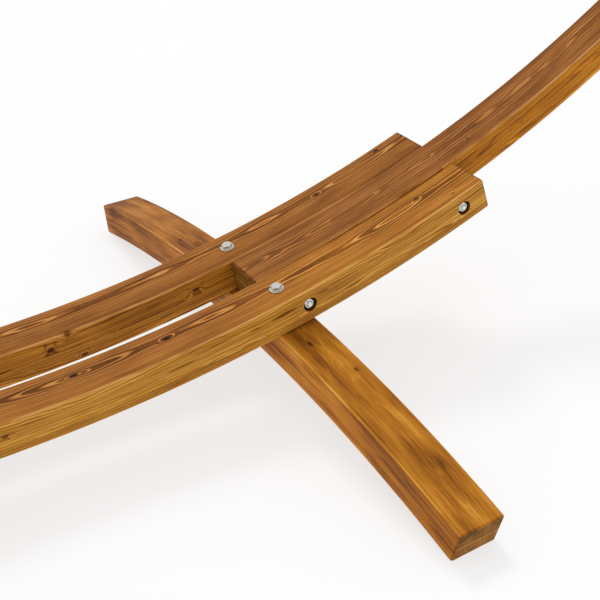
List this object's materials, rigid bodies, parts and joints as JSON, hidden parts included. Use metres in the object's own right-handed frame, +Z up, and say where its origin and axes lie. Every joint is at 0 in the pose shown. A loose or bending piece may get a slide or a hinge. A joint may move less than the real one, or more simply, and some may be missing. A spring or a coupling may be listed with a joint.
{
  "type": "hammock stand",
  "caption": "Arched laminated timber hammock stand: paired curved side beams on arched cross feet, with a curved arm bolted between them at each end carrying an eye bolt and a gated snap hook.",
  "frame": {"origin": "on the ground at the middle of the stand", "axes": "+Z up, +X along the stand from arm tip to arm tip, -Y is the side with the recessed nuts"},
  "size_m": [3.9988, 1.1574, 1.172],
  "materials": {
    "larch": "honey-brown stained and varnished laminated larch, satin",
    "zinc_steel": "bright zinc plated, satin",
    "hook_steel": "bright zinc plated bent wire, smooth",
    "spring_steel": "plain drawn spring wire"
  },
  "bodies": {
    "stand": {"front_side_beam": "larch", "back_side_beam": "larch", "right_arm": "larch", "right_foot": "larch", "right_foot_bolts": "zinc_steel", "right_foot_bolt_washers": "zinc_steel", "right_foot_nut_washers": "zinc_steel", "right_foot_nuts": "zinc_steel", "right_arm_bolts": "zinc_steel", "right_arm_bolt_washers": "zinc_steel", "right_arm_nut_washers": "zinc_steel", "right_arm_nuts": "zinc_steel", "right_eye_bolt": "zinc_steel", "right_eye_washers": "zinc_steel", "right_eye_nut": "zinc_steel", "left_arm": "larch", "left_foot": "larch", "left_foot_bolts": "zinc_steel", "left_foot_bolt_washers": "zinc_steel", "left_foot_nut_washers": "zinc_steel", "left_foot_nuts": "zinc_steel", "left_arm_bolts": "zinc_steel", "left_arm_bolt_washers": "zinc_steel", "left_arm_nut_washers": "zinc_steel", "left_arm_nuts": "zinc_steel", "left_eye_bolt": "zinc_steel", "left_eye_washers": "zinc_steel", "left_eye_nut": "zinc_steel"},
    "right_hook": {"right_hook_body": "hook_steel", "right_hook_gate_pin": "hook_steel"},
    "right_gate": {"right_hook_gate": "hook_steel", "right_hook_gate_spring": "spring_steel"},
    "left_hook": {"left_hook_body": "hook_steel", "left_hook_gate_pin": "hook_steel"},
    "left_gate": {"left_hook_gate": "hook_steel", "left_hook_gate_spring": "spring_steel"}
  },
  "joints": [
    {"name": "right_hook_swing", "type": "hinge", "parent": "stand", "child": "right_hook", "pos_m": [1.86451, 0, 1.1018], "axis": [0, 1, 0], "range_deg": [0, 145]},
    {"name": "right_hook_gate", "type": "hinge", "parent": "right_hook", "child": "right_gate", "pos_m": [1.85591, 0.01063, 1.07924], "axis": [-0.9343, 0, 0.3564], "range_deg": [0, 25], "stiffness_Nm_per_rad": 0.08, "springref_deg": -22.92},
    {"name": "left_hook_swing", "type": "hinge", "parent": "stand", "child": "left_hook", "pos_m": [-1.86451, 0, 1.1018], "axis": [0, -1, 0], "range_deg": [0, 145]},
    {"name": "left_hook_gate", "type": "hinge", "parent": "left_hook", "child": "left_gate", "pos_m": [-1.85591, 0.01063, 1.07924], "axis": [-0.9343, 0, -0.3564], "range_deg": [0, 25], "stiffness_Nm_per_rad": 0.08, "springref_deg": -22.92}
  ]
}
